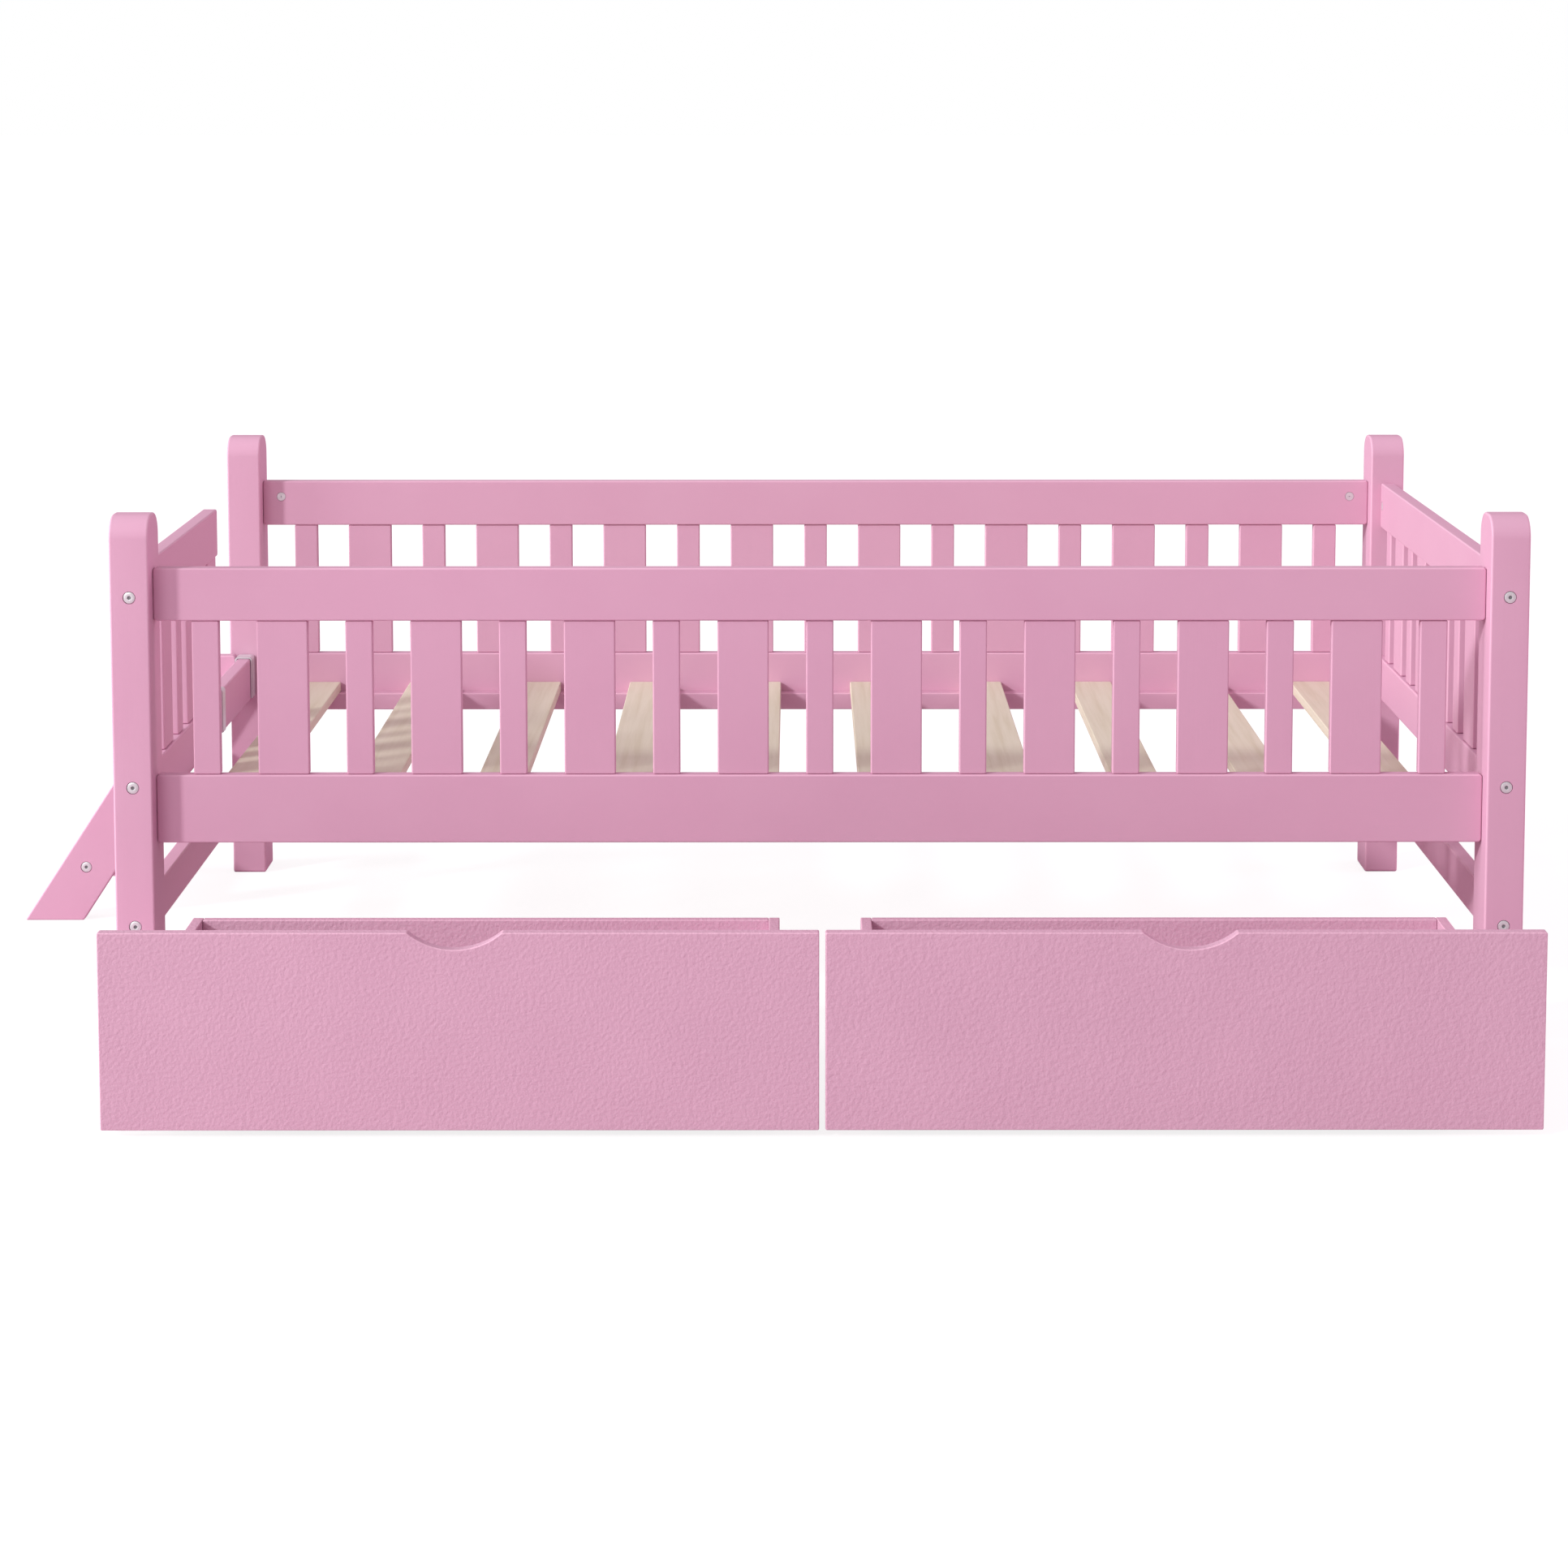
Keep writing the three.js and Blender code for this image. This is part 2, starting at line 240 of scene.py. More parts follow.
def woodFinish(name, values):
    finish = Finish(name, IOR=1.5)
    at = finish.attribute("grainAt", "Vector")
    drift = finish.noise(finish.stretched(at, values["driftStretch"]), 1.0, 3)
    bands = finish.noise(finish.stretched(at, values["bandStretch"]), values["bandScale"], 3, 0.55)
    bands = finish.node("ValToRGB", {"stops": values["bandStops"]}, {"Fac": bands}, "Color")
    fibre = finish.noise(finish.stretched(at, values["fibreStretch"]), values["fibreScale"], 4, 0.65)
    mask = finish.node("RGBToBW", {}, {"Color": bands}, "Val")
    share = (mask * values["bandShare"] + drift * values["driftShare"]).held()
    colour = finish.between(share, hexColour(values["early"]), hexColour(values["late"]))
    colour = finish.between(fibre * values["fibreShare"], colour, hexColour(values["fibre"]))
    finish.feed("Base Color", colour)
    roughness = values["roughness"] + values["baseRoughness"]
    finish.feed("Roughness", roughness + fibre * values["fibreRoughness"] + mask * values["bandRoughness"])
    finish.relief(fibre * values["fibreDepth"] + mask * values["bandDepth"])
    return finish


slatWood = woodFinish("paleSlatWood", slatWoodValues)

# Zinc-plated steel: bright, with a fine cloudy finish, and painted shade in recesses and along its edges.
zincValues = {
    # The dark grey here is a painted shade for recesses and edges.
    "bright": "f2f3f3", "dull": "dadddf", "paintedShade": "6f7276", "metallic": 0.6, "roughness": 0.3,
    "cloudScale": 260, "fineScale": 1500, "fineDepth": 0.00002,
    "paintedShadeShare": 0.8, "cloudRoughness": 0.14, "fineRoughness": 0.06,
}


def steelFinish(name, values):
    finish = Finish(name, Metallic=values["metallic"])
    at = finish.attribute("grainAt", "Vector")
    cloud = finish.noise(at, values["cloudScale"], 4, 0.6)
    fine = finish.noise(at, values["fineScale"], 2)
    paintedShade = finish.attribute("edgeShare", "Fac")
    colour = finish.between(cloud, hexColour(values["dull"]), hexColour(values["bright"]))
    # Painted shade: the eased edges and the floors of recesses are mixed towards a dark grey.
    colour = finish.between(paintedShade * values["paintedShadeShare"], colour, hexColour(values["paintedShade"]))
    finish.feed("Base Color", colour)
    roughness = values["roughness"] + cloud * values["cloudRoughness"] + fine * values["fineRoughness"]
    finish.feed("Roughness", roughness)
    finish.relief(fine * values["fineDepth"])
    return finish


zincSteel = steelFinish("zincPlatedSteel", zincValues)

# Castor plastics: a dark tread with a soft sheen, and a pale moulded hub.
plasticGrain = {
    "cloudScale": 90, "fineScale": 1200, "fineDepth": 0.00003, "cloudRoughness": 0.1, "fineRoughness": 0.08,
}
treadValues = {"light": "4a4a4d", "dark": "38383a", "roughness": 0.55}
hubValues = {"light": "cfcfcb", "dark": "b9b9b4", "roughness": 0.42}


def mouldedFinish(name, values):
    finish = Finish(name, IOR=1.49)
    s = plasticGrain
    at = finish.attribute("grainAt", "Vector")
    cloud = finish.noise(at, s["cloudScale"], 3)
    fine = finish.noise(at, s["fineScale"], 2)
    finish.feed("Base Color", finish.between(cloud, hexColour(values["dark"]), hexColour(values["light"])))
    finish.feed("Roughness", values["roughness"] + cloud * s["cloudRoughness"] + fine * s["fineRoughness"])
    finish.relief(fine * s["fineDepth"])
    return finish


treadRubber = mouldedFinish("castorTread", treadValues)
hubNylon = mouldedFinish("castorHub", hubValues)
print("finishes ready")

# Each slot of the record, with the finish it gets here.
looks = {
    "frame_paint": framePaint,
    "drawer_paint": drawerPaint,
    "pale_wood": slatWood,
    "bright_steel": zincSteel,
    "castor_tyre": treadRubber,
}

# For each axis: the two directions of an outline, then the one it is pushed out along.
pushed = {"x": (1, 2, 0), "y": (0, 2, 1), "z": (0, 1, 2)}
cornerSteps = 4
easeSteps = 3
sharpAngle = math.radians(28)
holeSteps = 24
facingMatch = 0.9999  # how nearly a flat face looks along the way it is asked for
grainSpread = 40  # how far apart the boards lie in their wood, at most


def roundedOutline(low, high, axis, radius):
    u, v, _ = pushed[axis]
    centres = (
        (high[u] - radius, high[v] - radius),
        (low[u] + radius, high[v] - radius),
        (low[u] + radius, low[v] + radius),
        (high[u] - radius, low[v] + radius),
    )
    points = []
    for quarter, (cu, cv) in enumerate(centres):
        for i in range(cornerSteps + 1):
            angle = math.pi / 2 * (quarter + i / cornerSteps)
            points.append((cu + radius * math.cos(angle), cv + radius * math.sin(angle)))
    return points


def arc(cu, cv, radius, start, end, steps):
    # points of an arc in degrees, both ends included
    angles = [math.radians(start + (end - start) * i / steps) for i in range(steps + 1)]
    return [(cu + radius * math.cos(a), cv + radius * math.sin(a)) for a in angles]


def softened(outline, radius, steps=6):
    # the same outline with its blunt corners rounded and its pointed ones left
    points = []
    for i, corner in enumerate(outline):
        here, before = Vector(corner), Vector(outline[i - 1])
        after = Vector(outline[(i + 1) % len(outline)])
        back, ahead = (before - here).normalized(), (after - here).normalized()
        opening = back.angle(ahead)
        if opening < math.pi / 2:
            points.append(corner)
            continue
        reach = radius / math.tan(opening / 2)
        centre = here + (back + ahead).normalized() * (radius / math.sin(opening / 2))
        start, end = here + back * reach - centre, here + ahead * reach - centre
        turn = start.angle_signed(end)
        for k in range(steps + 1):
            points.append(tuple(centre + Matrix.Rotation(-turn * k / steps, 2) @ start))
    return points


def pushOut(bm, outline, axis, start, end):
    # a closed solid from a flat outline
    u, v, w = pushed[axis]

    def at(point, depth):
        place = [0, 0, 0]
        place[u], place[v], place[w] = point[0], point[1], depth
        return place

    near = [bm.verts.new(at(p, start)) for p in outline]
    far = [bm.verts.new(at(p, end)) for p in outline]
    count = len(outline)
    faces = [bm.faces.new(near), bm.faces.new(far)]
    for i in range(count):
        j = (i + 1) % count
        faces.append(bm.faces.new((near[i], near[j], far[j], far[i])))
    bmesh.ops.recalc_face_normals(bm, faces=faces)


def easeEdges(bm, radius, shareLayer):
    # rounds every sharp edge and marks the rounded strips
    bm.normal_update()
    sharp = [e for e in bm.edges if e.is_manifold and e.calc_face_angle(0) > sharpAngle]
    made = bmesh.ops.bevel(
        bm, geom=sharp, offset=radius, segments=easeSteps, profile=0.5, affect="EDGES",
        clamp_overlap=True, loop_slide=True,
    )
    rounded = set(made["faces"])
    # These marks drive the paint's painted highlight and lower roughness, and the steel's painted shade.
    for vert in {v for f in rounded for v in f.verts}:
        if all(f in rounded for f in vert.link_faces):
            vert[shareLayer] = 1.0


def facePlane(facing):
    across = facing.orthogonal().normalized()
    return across, facing.cross(across)


def ringOf(bm, centre, across, upward, radius, steps, shape="round", turn=0.0):
    verts = []
    for i in range(steps):
        angle = 2 * math.pi * i / steps
        reach = radius * recessShape[shape](angle)
        aside, rise = reach * math.cos(angle + turn), reach * math.sin(angle + turn)
        verts.append(bm.verts.new(centre + across * aside + upward * rise))
    return verts


# How far a recess reaches at each angle, as a share of its radius.
recessArms = {"halfWidth": 0.2, "crossWaist": 0.38, "slotWaist": 0.2}


def hexReach(angle):
    wedge = math.pi / 3
    return math.cos(wedge / 2) / math.cos(angle % wedge - wedge / 2)


def armReach(angle, spread, waist):
    part = angle % spread
    return 1.0 if min(part, spread - part) < recessArms["halfWidth"] else waist


recessShape = {
    "round": lambda angle: 1.0,
    "hex": hexReach,
    "cross": lambda angle: armReach(angle, math.pi / 2, recessArms["crossWaist"]),
    "slot": lambda angle: armReach(angle, math.pi, recessArms["slotWaist"]),
}


def bridge(bm, lower, upper):
    count = len(lower)
    for i in range(count):
        j = (i + 1) % count
        bm.faces.new((lower[i], lower[j], upper[j], upper[i]))


def stackRings(bm, rings):
    # a closed shape from its rings, bottom to top
    bm.faces.new(rings[0])
    for lower, upper in zip(rings, rings[1:]):
        bridge(bm, lower, upper)
    bm.faces.new(rings[-1])


def drill(bm, facing, spots, radius, depth):
    # blind round holes in the broadest flat face that looks along facing, of equals the one nearest the spots
    bm.normal_update()
    flat = [f for f in bm.faces if f.normal.dot(facing) > facingMatch]
    wanted = Vector(spots[0]).dot(facing)
    face = max(flat, key=lambda f: (round(f.calc_area(), 6), -abs(f.verts[0].co.dot(facing) - wanted)))
    level = face.verts[0].co.dot(facing)
    across, upward = facePlane(facing)
    rims = list(face.edges)
    bmesh.ops.delete(bm, geom=[face], context="FACES_ONLY")
    for spot in spots:
        mouth = Vector(spot)
        mouth += facing * (level - mouth.dot(facing))
        rim = ringOf(bm, mouth, across, upward, radius, holeSteps)
        floor = ringOf(bm, mouth - facing * depth, across, upward, radius, holeSteps)
        bridge(bm, rim, floor)
        bm.faces.new(floor)
        rims += [bm.edges.get((rim[i], rim[(i + 1) % holeSteps])) for i in range(holeSteps)]
    bmesh.ops.triangle_fill(bm, use_beauty=True, use_dissolve=False, edges=rims, normal=facing)
    bmesh.ops.recalc_face_normals(bm, faces=bm.faces[:])
    return level


# Fixings: the hole each one sits in, and its rings from the bottom of the hole to the floor of its recess.
# Radius and height in mm, height 0 at the board's face.
fixingShapes = {
    "bolt": {
        "hole": (9.1, 3.2),
        "rings": [
            (8.2, -3.2, "round"), (8.35, -1.3, "round"), (8.05, -0.75, "round"), (7.2, -0.35, "round"),
            (5.2, -0.1, "round"), (3.3, -0.1, "round"), (2.9, -0.35, "hex"), (2.7, -2.4, "hex"),
        ],
    },
    "barrelNut": {
        "hole": (7.7, 1.6),
        "rings": [
            (7.3, -1.6, "round"), (7.3, -0.7, "round"), (6.9, -0.3, "round"), (4.8, -0.25, "round"),
            (4.3, -0.3, "slot"), (4.1, -1.3, "slot"),
        ],
    },
    "screw": {
        "hole": (4.3, 1.4),
        "rings": [
            (4.05, -1.4, "round"), (4.05, -0.55, "round"), (3.8, -0.3, "round"), (2.5, -0.25, "round"),
            (2.3, -0.4, "cross"), (1.7, -1.2, "cross"),
        ],
    },
}
fixings = {}  # group name: the fixings in it


def fitFixings(bm, kind, group, facing, spots):
    radius, depth = fixingShapes[kind]["hole"]
    face = Vector(facing)
    level = drill(bm, face, spots, radius * mm, depth * mm)
    for spot in spots:
        place = Vector(spot)
        place += face * (level - place.dot(face))
        fixings.setdefault(group, []).append((kind, place, face))


def setGrain(bm, layer, alongAxis, lean=0.0):
    # where each point lies in its own board: along the grain, across it and through it
    order = {"x": (0, 1, 2), "y": (1, 0, 2), "z": (2, 0, 1)}[alongAxis]
    turn = Matrix.Rotation(lean, 3, "Y")
    shift = Vector([chance.uniform(0, grainSpread) for _ in range(3)])
    for vert in bm.verts:
        place = turn @ vert.co
        vert[layer] = Vector([place[i] for i in order]) + shift


def newShape():
    bm = bmesh.new()
    share = bm.verts.layers.float.new("edgeShare")
    grain = bm.verts.layers.float_vector.new("grainAt")
    return bm, share, grain


def finishPiece(name, bm, body, slot, nodes, finish=None, smoothAngle=40):
    bmesh.ops.recalc_face_normals(bm, faces=bm.faces[:])
    mesh = bpy.data.meshes.new(name)
    bm.to_mesh(mesh)
    bm.free()
    mesh.polygons.foreach_set("use_smooth", [True] * len(mesh.polygons))
    mesh.set_sharp_from_angle(angle=math.radians(smoothAngle))
    piece = bpy.data.objects.new(name, mesh)
    bpy.context.scene.collection.objects.link(piece)
    mesh.materials.append((finish or looks[slot]).material)
    weighting = piece.modifiers.new("flatFaces", "WEIGHTED_NORMAL")
    weighting.mode = "FACE_AREA"
    weighting.keep_sharp = True
    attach(piece, body)
    if nodes:
        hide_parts(*nodes)


def makeBoard(name, node, body, slot, outline, axis, span, ease, grainAxis, holes=(), lean=0.0):
    bm, share, grain = newShape()
    pushOut(bm, outline, axis, *span)
    easeEdges(bm, ease, share)
    for hole in holes:
        fitFixings(bm, *hole)
    setGrain(bm, grain, grainAxis, lean)
    finishPiece(name, bm, body, slot, [node])


def plainBoard(name, node, slot, axis, grainAxis, shape, holes=(), limits=None, body="frame"):
    low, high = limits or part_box(node)
    outline = roundedOutline(low, high, axis, shape["corner"] * mm)
    w = pushed[axis][2]
    makeBoard(name, node, body, slot, outline, axis, (low[w], high[w]), shape["ease"] * mm, grainAxis, holes)


# Posts: rounded over at the front and back of the top, bolts in the faces that look outwards.
postShape = {
    "ease": 3.2, "crown": 32, "foot": 4.8, "crownSteps": 12,
    "endBolts": (631, 361, 162),  # heights of the bolts that hold the end rails
    "sideBolts": (642, 350, 300),  # heights of the bolts that hold the long rails
}


def makePosts():
    crown, foot = postShape["crown"] * mm, postShape["foot"] * mm
    for side, outward in (("front", -1), ("back", 1)):
        for end, endward in (("left", -1), ("right", 1)):
            node = f"{side}_{end}_post"
            low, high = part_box(node)
            middle = (low + high) / 2
            outline = (
                arc(low.y + foot, low.z + foot, foot, 180, 270, cornerSteps)
                + arc(high.y - foot, low.z + foot, foot, 270, 360, cornerSteps)
                + arc(high.y - crown, high.z - crown, crown, 0, 90, postShape["crownSteps"])
                + arc(low.y + crown, high.z - crown, crown, 90, 180, postShape["crownSteps"])
            )
            endBolts = [(middle.x, middle.y, z * mm) for z in postShape["endBolts"]]
            if node == "back_left_post":
                endBolts = endBolts[1:]  # the guard rail at this end stops short of it
            sideBolts = [(middle.x, middle.y, z * mm) for z in postShape["sideBolts"]]
            holes = [
                ("bolt", "frame_bolts", (0, outward, 0), endBolts),
                ("bolt", "frame_bolts", (endward, 0, 0), sideBolts),
            ]
            makeBoard(
                f"post_{side}_{end}", node, "frame", "frame_paint", outline, "x", (low.x, high.x),
                postShape["ease"] * mm, "z", holes,
            )


makePosts()
print("posts made")

# Rails and stretchers, with the barrel nuts that the post bolts pull on.
railShape = {"ease": 2.6, "corner": 5.0}
nutPlaces = {"fromSidePost": 31, "fromEndPost": 15}
guardRailHeight = 75 * mm


def sideNuts(low, high, inward, heights):
    step = nutPlaces["fromSidePost"] * mm
    spots = [(x, 0, z * mm) for z in heights for x in (low.x + step, high.x - step)]
    return [("barrelNut", "frame_barrel_nuts", (0, inward, 0), spots)]


def endNuts(low, high, inward, height, freeEnd=False):
    step = nutPlaces["fromEndPost"] * mm
    places = (low.y + step,) if freeEnd else (low.y + step, high.y - step)
    return [("barrelNut", "frame_barrel_nuts", (inward, 0, 0), [(0, y, height * mm) for y in places])]


def makeRails():
    upper, lower, foot = postShape["endBolts"]
    for side, inward in (("front", 1), ("back", -1)):
        low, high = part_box(f"{side}_side_rail")
        holes = sideNuts(low, high, inward, postShape["sideBolts"][1:])
        plainBoard(f"{side}_long_rail", f"{side}_side_rail", "frame_paint", "y", "x", railShape, holes)
        low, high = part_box(f"{side}_guard")
        low.z = high.z - guardRailHeight
        holes = sideNuts(low, high, inward, postShape["sideBolts"][:1])
        limits = (low, high)
        plainBoard(f"{side}_guard_rail", f"{side}_guard", "frame_paint", "y", "x", railShape, holes, limits)
    for end, inward in (("left", 1), ("right", -1)):
        low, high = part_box(f"{end}_end_rail")
        holes = endNuts(low, high, inward, lower)
        plainBoard(f"{end}_cross_rail", f"{end}_end_rail", "frame_paint", "x", "y", railShape, holes)
        low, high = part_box(f"{end}_stretcher")
        holes = endNuts(low, high, inward, foot)
        plainBoard(f"{end}_low_rail", f"{end}_stretcher", "frame_paint", "x", "y", railShape, holes)
        low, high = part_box(f"{end}_guard")
        low.z = high.z - guardRailHeight
        holes = endNuts(low, high, inward, upper, freeEnd=end == "left")
        limits = (low, high)
        plainBoard(f"{end}_guard_rail", f"{end}_guard", "frame_paint", "x", "y", railShape, holes, limits)


makeRails()
print("rails made")

# Guard slats, narrow and wide in turn, standing between the two rails of each guard.
guardSlatShape = {
    "ease": 2.2, "corner": 2.6, "thickness": 15, "narrow": 38.4, "wide": 72.1, "widestGap": 60,
    "topGap": 0.2,  # between a slat's top and its rail
}


def slatSpans(start, end, freeEnd):
    narrow, wide = guardSlatShape["narrow"] * mm, guardSlatShape["wide"] * mm
    room = end - start - (0 if freeEnd else narrow)
    pairs = 1
    while True:
        gap = (room - pairs * (narrow + wide)) / (2 * pairs + (0 if freeEnd else 2))
        if gap <= guardSlatShape["widestGap"] * mm:
            break
        pairs += 1
    spans, at = [], start
    for i in range(2 * pairs + (0 if freeEnd else 1)):
        width = wide if i % 2 else narrow
        spans.append((at + gap, at + gap + width))
        at += gap + width
    return spans


def makeGuardSlats():
    inner = {side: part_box(f"{side}_left_post") for side in ("front", "back")}
    clear = {
        "front": (inner["front"][1].x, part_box("front_right_post")[0].x, False),
        "back": (inner["front"][1].x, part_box("front_right_post")[0].x, False),
        "left": (inner["front"][1].y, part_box("left_guard")[1].y, True),
        "right": (inner["front"][1].y, inner["back"][0].y, False),
    }
    half, topGap = guardSlatShape["thickness"] * mm / 2, guardSlatShape["topGap"] * mm
    for guard, (start, end, freeEnd) in clear.items():
        low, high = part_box(f"{guard}_guard")
        along, through = (0, 1) if guard in ("front", "back") else (1, 0)
        middle = (low[through] + high[through]) / 2
        for i, span in enumerate(slatSpans(start, end, freeEnd)):
            first, last = Vector(low), Vector(high)
            first[along], last[along] = span
            first[through], last[through] = middle - half, middle + half
            last.z = high.z - guardRailHeight - topGap
            plainBoard(
                f"{guard}_guard_slat_{i + 1:02d}", f"{guard}_guard", "frame_paint", "yx"[along], "z",
                guardSlatShape, (), (first, last),
            )


makeGuardSlats()
print("guard slats made")

# Mattress base: painted ledgers, and bare slats laid across them.
ledgerShape = {"ease": 2.0, "corner": 3.0}
baseSlatShape = {"ease": 1.8, "corner": 4.0}


def makeMattressBase():
    for side in ("front", "back"):
        plainBoard(f"{side}_slat_ledger", f"{side}_ledger", "frame_paint", "y", "x", ledgerShape)
    for node in sorted(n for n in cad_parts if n.startswith("base_slat_")):
        plainBoard(node.replace("base_slat", "bed_slat"), node, "pale_wood", "z", "y", baseSlatShape)


makeMattressBase()
print("mattress base made")

# Ladder: leaning stiles cut level at the floor and the top, level treads between them, steel hooks.
ladderShape = {
    "lean": 33.2,  # degrees from upright
    "stileWidth": 78.4, "contact": 71.7, "ease": 2.4, "corner": 4.5, "nose": 4.0, "treadEase": 1.5,
    "boltIn": 29,  # bolts in from a tread's front edge
    "hookThickness": 3, "hookBend": 2.5, "hookEase": 0.6, "innerSteps": 6, "outerSteps": 8,
    "hookScrews": (12, 45),  # up from the hook's lower end, through its outer leg into the stile
}


def makeLadder():
    lean = math.radians(ladderShape["lean"])
    levelWidth = ladderShape["stileWidth"] * mm / math.cos(lean)
    treads = {at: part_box(f"ladder_{at}_tread") for at in ("lower", "upper")}
    nose = ladderShape["nose"] * mm
    for side, outward in (("front", -1), ("back", 1)):
        node = f"ladder_{side}_stile"
        low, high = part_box(node)
        heelZ = high.z - ladderShape["contact"] * mm
        footRear = high.x - math.tan(lean) * (heelZ - low.z)
        outline = [
            (footRear - levelWidth, low.z), (footRear, low.z), (high.x, heelZ), (high.x, high.z),
            (footRear - levelWidth + math.tan(lean) * (high.z - low.z), high.z),
        ]
        spots = []
        for first, last in treads.values():
            spots.append((first.x + ladderShape["boltIn"] * mm, 0, (first.z + last.z) / 2))
        outline = softened(outline, ladderShape["corner"] * mm)
        holes = [("bolt", "ladder_bolts", (0, outward, 0), spots)]
        makeBoard(
            f"ladder_stile_{side}", node, "ladder", "frame_paint", outline, "y", (low.y, high.y),
            ladderShape["ease"] * mm, "z", holes, -lean,
        )
    for at, (low, high) in treads.items():
        outline = roundedOutline(low, high, "y", nose)
        makeBoard(
            f"ladder_tread_{at}", f"ladder_{at}_tread", "ladder", "frame_paint", outline,
            "y", (low.y, high.y), ladderShape["treadEase"] * mm, "y",
        )
    thick, bend = ladderShape["hookThickness"] * mm, ladderShape["hookBend"] * mm
    outer = bend + thick
    for side in ("front", "back"):
        node = f"ladder_{side}_hook"
        low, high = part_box(node)
        outline = (
            [(low.x, low.z), (low.x + thick, low.z)]
            + arc(low.x + outer, high.z - outer, bend, 180, 90, ladderShape["innerSteps"])
            + arc(high.x - outer, high.z - outer, bend, 90, 0, ladderShape["innerSteps"])
            + [(high.x - thick, low.z), (high.x, low.z)]
            + arc(high.x - outer, high.z - outer, outer, 0, 90, ladderShape["outerSteps"])
            + arc(low.x + outer, high.z - outer, outer, 90, 180, ladderShape["outerSteps"])
        )
        middleY = (low.y + high.y) / 2
        spots = [(low.x + thick, middleY, low.z + z * mm) for z in ladderShape["hookScrews"]]
        makeBoard(
            f"ladder_strap_{side}", node, "ladder", "bright_steel", outline, "y", (low.y, high.y),
            ladderShape["hookEase"] * mm, "z", [("screw", "hook_screws", (1, 0, 0), spots)],
        )


makeLadder()
print("ladder made")

# Drawers: a notched front, two sides, a back and a bottom, on four fixed castors.
drawerShape = {
    "frontEase": 1.8, "frontCorner": 2.2, "boxEase": 1.5, "boxCorner": 1.8,
    "notchWidth": 121.6, "notchDepth": 22.2, "notchOffset": 5, "notchSteps": 28,
    "screwInset": 7.5, "screwHeights": (22, 73, 124),
}


def notchedOutline(low, high, notchX):
    corner = drawerShape["frontCorner"] * mm
    half, deep = drawerShape["notchWidth"] * mm / 2, drawerShape["notchDepth"] * mm
    radius = (half ** 2 + deep ** 2) / (2 * deep)
    swing = math.degrees(math.asin(half / radius))
    return (
        arc(low.x + corner, low.z + corner, corner, 180, 270, cornerSteps)
        + arc(high.x - corner, low.z + corner, corner, 270, 360, cornerSteps)
        + arc(high.x - corner, high.z - corner, corner, 0, 90, cornerSteps)
        + arc(notchX, high.z + radius - deep, radius, 270 + swing, 270 - swing, drawerShape["notchSteps"])
        + arc(low.x + corner, high.z - corner, corner, 90, 180, cornerSteps)
    )


def makeDrawer(side, away):
    body = f"{side}_drawer"
    low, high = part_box(f"{side}_drawer_front")
    notchX = (low.x + high.x) / 2 + away * drawerShape["notchOffset"] * mm
    outline = notchedOutline(low, high, notchX)
    makeBoard(
        f"{side}_drawer_face", f"{side}_drawer_front", body, "drawer_paint", outline, "y", (low.y, high.y),
        drawerShape["frontEase"] * mm, "x",
    )
    boxBoard = {"ease": drawerShape["boxEase"], "corner": drawerShape["boxCorner"]}
    for end, outward in (("left", -1), ("right", 1)):
        low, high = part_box(f"{side}_drawer_{end}_side")
        screwY = high.y - drawerShape["screwInset"] * mm
        spots = [(0, screwY, low.z + z * mm) for z in drawerShape["screwHeights"]]
        holes = [("screw", f"{side}_drawer_screws", (outward, 0, 0), spots)]
        plainBoard(
            f"{side}_drawer_cheek_{end}", f"{side}_drawer_{end}_side", "drawer_paint",
            "x", "y", boxBoard, holes, body=body,
        )
    plainBoard(f"{side}_drawer_rear", f"{side}_drawer_back", "drawer_paint", "y", "x", boxBoard, body=body)
    plainBoard(f"{side}_drawer_base", f"{side}_drawer_bottom", "drawer_paint", "z", "x", boxBoard, body=body)
    for across in ("front", "back"):
        for along in ("left", "right"):
            makeCastor(f"{side}_drawer_{across}_{along}", body)


castorShape = {
    "plateThickness": 2.5, "plateCorner": 3.0, "cheekThickness": 2.0, "cheekTop": 15, "cheekSlope": 0.35,
    "cheekSteps": 14, "ease": 0.5,
    "rivet": [(4.2, 0), (3.36, 0.84), (1.47, 1.2)],  # radius and height of its rings
    "rivetSteps": 16,
    "wheelSteps": 40, "wheelWidth": 16, "bore": 3.4, "hubRadius": 6.5, "webRadius": 12.8, "webDepth": 2.6,
    "rimRadius": 14.4, "rimShare": 0.97,  # the rim's width as a share of the wheel's
    "edgeRadius": 3.0,
}


def latheRings(bm, profile, centre, steps):
    # a closed profile of (radius, place along X) turned about X
    across, upward = Vector((0, 1, 0)), Vector((0, 0, 1))
    rings = [ringOf(bm, centre + Vector((x, 0, 0)), across, upward, r, steps) for r, x in profile]
    for i, ring in enumerate(rings):
        bridge(bm, ring, rings[(i + 1) % len(rings)])


def mirrored(profile):
    return profile + [(r, -x) for r, x in reversed(profile)]


